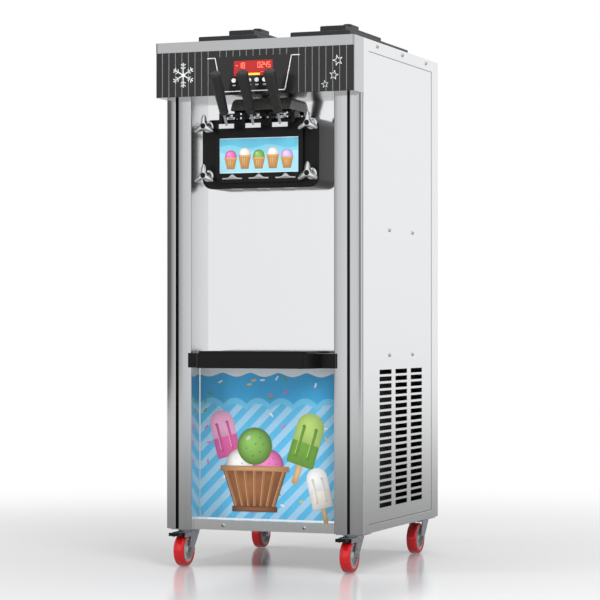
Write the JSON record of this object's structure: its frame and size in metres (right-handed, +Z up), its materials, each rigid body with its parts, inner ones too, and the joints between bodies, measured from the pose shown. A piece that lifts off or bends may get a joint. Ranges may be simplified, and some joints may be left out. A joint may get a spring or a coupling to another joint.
{
  "type": "soft serve ice cream machine",
  "caption": "Floor-standing soft-serve ice cream machine: stainless cabinet on swivel casters, overhanging control header, dispensing head with pull levers, drip tray and lidded hoppers.",
  "frame": {"origin": "middle of the overall footprint, on the floor under the wheels", "axes": "+Z up, +Y to the back, +X to the right as the user faces the levers"},
  "size_m": [0.526, 0.7398, 1.363],
  "materials": {
    "satin_steel": "satin brushed stainless sheet",
    "polished_steel": "polished stainless sheet",
    "zinc_steel": "zinc plated pressed steel",
    "chrome": "bright chrome",
    "black_plastic": "satin moulded black plastic",
    "white_plastic": "white plastic",
    "fascia_black": "gloss black printed panel",
    "display_red": "lit red display window",
    "board_green": "circuit board",
    "hood_grey": "gloss olive grey plastic",
    "red_tyre": "glossy red polyurethane",
    "cast_aluminium": "cast and finned aluminium",
    "black_paint": "black enamel"
  },
  "bodies": {
    "cabinet": {"base_frame": "zinc_steel", "right_post": "satin_steel", "left_post": "satin_steel", "right_side_panel": "satin_steel", "left_side_panel": "satin_steel", "rear_panel": "satin_steel", "cord_gland": "black_plastic", "upper_front_panel": "polished_steel", "lower_front_panel": "polished_steel", "header_shell": "satin_steel", "control_fascia": "fascia_black", "display_window": "display_red", "control_board": "board_green", "hopper_deck": "satin_steel", "freezing_barrels": "polished_steel", "gear_motor": "cast_aluminium", "dispensing_head": "black_plastic", "lever_pivot_pin": "chrome", "star_nozzles": "white_plastic", "switch_hood": "hood_grey", "caster_plates": "zinc_steel", "compressor": "black_paint", "condenser": "cast_aluminium", "panel_screws": "chrome"},
    "button_1": {"button_1": "white_plastic"},
    "button_2": {"button_2": "white_plastic"},
    "button_3": {"button_3": "white_plastic"},
    "button_4": {"button_4": "white_plastic"},
    "button_5": {"button_5": "white_plastic"},
    "button_6": {"button_6": "white_plastic"},
    "left_lever": {"left_lever": "chrome", "left_grip": "black_plastic"},
    "left_plunger": {"left_plunger": "black_plastic"},
    "middle_lever": {"middle_lever": "chrome", "middle_grip": "black_plastic"},
    "middle_plunger": {"middle_plunger": "black_plastic"},
    "right_lever": {"right_lever": "chrome", "right_grip": "black_plastic"},
    "right_plunger": {"right_plunger": "black_plastic"},
    "upper_left_hand_screw": {"upper_left_hand_screw": "chrome"},
    "upper_right_hand_screw": {"upper_right_hand_screw": "chrome"},
    "lower_left_hand_screw": {"lower_left_hand_screw": "chrome"},
    "lower_right_hand_screw": {"lower_right_hand_screw": "chrome"},
    "left_lid": {"left_lid": "black_plastic"},
    "right_lid": {"right_lid": "black_plastic"},
    "drip_tray": {"drip_tray": "black_plastic", "drip_grid": "black_plastic"},
    "front_left_caster": {"front_left_fork": "zinc_steel"},
    "front_left_wheel": {"front_left_wheel": "red_tyre"},
    "front_left_brake": {"front_left_brake": "black_plastic"},
    "front_right_caster": {"front_right_fork": "zinc_steel"},
    "front_right_wheel": {"front_right_wheel": "red_tyre"},
    "front_right_brake": {"front_right_brake": "black_plastic"},
    "rear_left_caster": {"rear_left_fork": "zinc_steel"},
    "rear_left_wheel": {"rear_left_wheel": "red_tyre"},
    "rear_right_caster": {"rear_right_fork": "zinc_steel"},
    "rear_right_wheel": {"rear_right_wheel": "red_tyre"},
    "left_beater": {"left_beater": "polished_steel"},
    "right_beater": {"right_beater": "polished_steel"},
    "condenser_fan": {"condenser_fan": "black_plastic"}
  },
  "joints": [
    {"name": "button_1_press", "type": "slide", "parent": "cabinet", "child": "button_1", "axis": [0, 1, 0], "range_m": [0, 0.002], "stiffness_N_per_m": 400},
    {"name": "button_2_press", "type": "slide", "parent": "cabinet", "child": "button_2", "axis": [0, 1, 0], "range_m": [0, 0.002], "stiffness_N_per_m": 400},
    {"name": "button_3_press", "type": "slide", "parent": "cabinet", "child": "button_3", "axis": [0, 1, 0], "range_m": [0, 0.002], "stiffness_N_per_m": 400},
    {"name": "button_4_press", "type": "slide", "parent": "cabinet", "child": "button_4", "axis": [0, 1, 0], "range_m": [0, 0.002], "stiffness_N_per_m": 400},
    {"name": "button_5_press", "type": "slide", "parent": "cabinet", "child": "button_5", "axis": [0, 1, 0], "range_m": [0, 0.002], "stiffness_N_per_m": 400},
    {"name": "button_6_press", "type": "slide", "parent": "cabinet", "child": "button_6", "axis": [0, 1, 0], "range_m": [0, 0.002], "stiffness_N_per_m": 400},
    {"name": "left_lever_pull", "type": "hinge", "parent": "cabinet", "child": "left_lever", "pos_m": [-0.07, -0.25712, 1.11], "axis": [1, 0, 0], "range_deg": [0, 24]},
    {"name": "left_plunger_lift", "type": "slide", "parent": "cabinet", "child": "left_plunger", "axis": [0, 0, 1], "range_m": [0, 0.0165]},
    {"name": "middle_lever_pull", "type": "hinge", "parent": "cabinet", "child": "middle_lever", "pos_m": [0, -0.25712, 1.11], "axis": [1, 0, 0], "range_deg": [0, 24]},
    {"name": "middle_plunger_lift", "type": "slide", "parent": "cabinet", "child": "middle_plunger", "axis": [0, 0, 1], "range_m": [0, 0.0165]},
    {"name": "right_lever_pull", "type": "hinge", "parent": "cabinet", "child": "right_lever", "pos_m": [0.07, -0.25712, 1.11], "axis": [1, 0, 0], "range_deg": [0, 24]},
    {"name": "right_plunger_lift", "type": "slide", "parent": "cabinet", "child": "right_plunger", "axis": [0, 0, 1], "range_m": [0, 0.0165]},
    {"name": "upper_left_hand_screw_turn", "type": "hinge", "parent": "cabinet", "child": "upper_left_hand_screw", "pos_m": [-0.136, -0.26312, 1.087], "axis": [0, 1, 0], "continuous": true},
    {"name": "upper_right_hand_screw_turn", "type": "hinge", "parent": "cabinet", "child": "upper_right_hand_screw", "pos_m": [0.136, -0.26312, 1.087], "axis": [0, 1, 0], "continuous": true},
    {"name": "lower_left_hand_screw_turn", "type": "hinge", "parent": "cabinet", "child": "lower_left_hand_screw", "pos_m": [-0.136, -0.26312, 0.966], "axis": [0, 1, 0], "continuous": true},
    {"name": "lower_right_hand_screw_turn", "type": "hinge", "parent": "cabinet", "child": "lower_right_hand_screw", "pos_m": [0.136, -0.26312, 0.966], "axis": [0, 1, 0], "continuous": true},
    {"name": "left_lid_lift", "type": "slide", "parent": "cabinet", "child": "left_lid", "axis": [0, 0, 1], "range_m": [0, 0.12]},
    {"name": "right_lid_lift", "type": "slide", "parent": "cabinet", "child": "right_lid", "axis": [0, 0, 1], "range_m": [0, 0.12]},
    {"name": "drip_tray_pull", "type": "slide", "parent": "cabinet", "child": "drip_tray", "axis": [0, -1, 0], "range_m": [0, 0.12]},
    {"name": "front_left_caster_swivel", "type": "hinge", "parent": "cabinet", "child": "front_left_caster", "pos_m": [-0.219, -0.17712, 0.085], "axis": [0, 0, 1], "continuous": true},
    {"name": "front_left_wheel_roll", "type": "hinge", "parent": "front_left_caster", "child": "front_left_wheel", "pos_m": [-0.219, -0.20612, 0.04], "axis": [1, 0, 0], "continuous": true},
    {"name": "front_left_brake_tread", "type": "hinge", "parent": "front_left_caster", "child": "front_left_brake", "pos_m": [-0.219, -0.23112, 0.08], "axis": [1, 0, 0], "range_deg": [0, 12]},
    {"name": "front_right_caster_swivel", "type": "hinge", "parent": "cabinet", "child": "front_right_caster", "pos_m": [0.219, -0.17712, 0.085], "axis": [0, 0, 1], "continuous": true},
    {"name": "front_right_wheel_roll", "type": "hinge", "parent": "front_right_caster", "child": "front_right_wheel", "pos_m": [0.219, -0.20612, 0.04], "axis": [1, 0, 0], "continuous": true},
    {"name": "front_right_brake_tread", "type": "hinge", "parent": "front_right_caster", "child": "front_right_brake", "pos_m": [0.219, -0.23112, 0.08], "axis": [1, 0, 0], "range_deg": [0, 12]},
    {"name": "rear_left_caster_swivel", "type": "hinge", "parent": "cabinet", "child": "rear_left_caster", "pos_m": [-0.219, 0.33188, 0.085], "axis": [0, 0, 1], "continuous": true},
    {"name": "rear_left_wheel_roll", "type": "hinge", "parent": "rear_left_caster", "child": "rear_left_wheel", "pos_m": [-0.219, 0.30288, 0.04], "axis": [1, 0, 0], "continuous": true},
    {"name": "rear_right_caster_swivel", "type": "hinge", "parent": "cabinet", "child": "rear_right_caster", "pos_m": [0.219, 0.33188, 0.085], "axis": [0, 0, 1], "continuous": true},
    {"name": "rear_right_wheel_roll", "type": "hinge", "parent": "rear_right_caster", "child": "rear_right_wheel", "pos_m": [0.219, 0.30288, 0.04], "axis": [1, 0, 0], "continuous": true},
    {"name": "left_beater_turn", "type": "hinge", "parent": "cabinet", "child": "left_beater", "pos_m": [-0.075, -0.13312, 1.02], "axis": [0, 1, 0], "continuous": true},
    {"name": "right_beater_turn", "type": "hinge", "parent": "cabinet", "child": "right_beater", "pos_m": [0.075, -0.13312, 1.02], "axis": [0, 1, 0], "continuous": true},
    {"name": "condenser_fan_turn", "type": "hinge", "parent": "cabinet", "child": "condenser_fan", "pos_m": [0.15, -0.02562, 0.281], "axis": [1, 0, 0], "continuous": true}
  ],
  "couplings": [
    {"joint": "left_plunger_lift", "follows": "left_lever_pull", "m_per_rad": 0.0393},
    {"joint": "middle_plunger_lift", "follows": "middle_lever_pull", "m_per_rad": 0.0393},
    {"joint": "right_plunger_lift", "follows": "right_lever_pull", "m_per_rad": 0.0393},
    {"joint": "right_beater_turn", "follows": "left_beater_turn", "ratio": 1}
  ]
}
